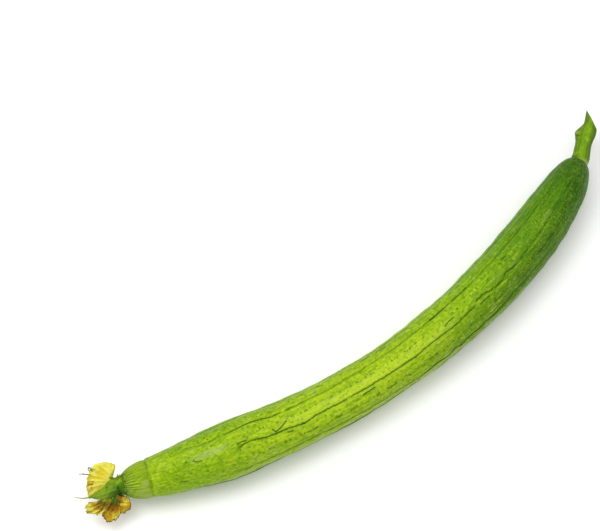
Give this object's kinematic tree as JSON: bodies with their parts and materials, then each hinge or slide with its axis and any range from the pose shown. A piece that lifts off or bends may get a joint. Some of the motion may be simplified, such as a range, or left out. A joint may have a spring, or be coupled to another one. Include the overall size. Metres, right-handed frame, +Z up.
{
  "type": "sponge gourd",
  "caption": "Long curved smooth sponge gourd lying on its side, with a ribbed collar, its obliquely cut stalk and the withered yellow flower still on.",
  "frame": {"origin": "the middle of the flattened spot at the middle of the belly, on the surface that the fruit rests on", "axes": "+X along the chord of the curved fruit, from the flower towards the stalk; +Z up; the fruit bulges towards -Y"},
  "size_m": [0.5747, 0.1128, 0.0485],
  "materials": {
    "skin": "satin",
    "stalk": "matte",
    "calyx": "matte",
    "petal": "matte",
    "style": "matte"
  },
  "bodies": {
    "root": {"fruit": "skin", "stalk": "stalk", "calyx": "calyx", "corolla": "petal", "style": "style"}
  },
  "joints": []
}
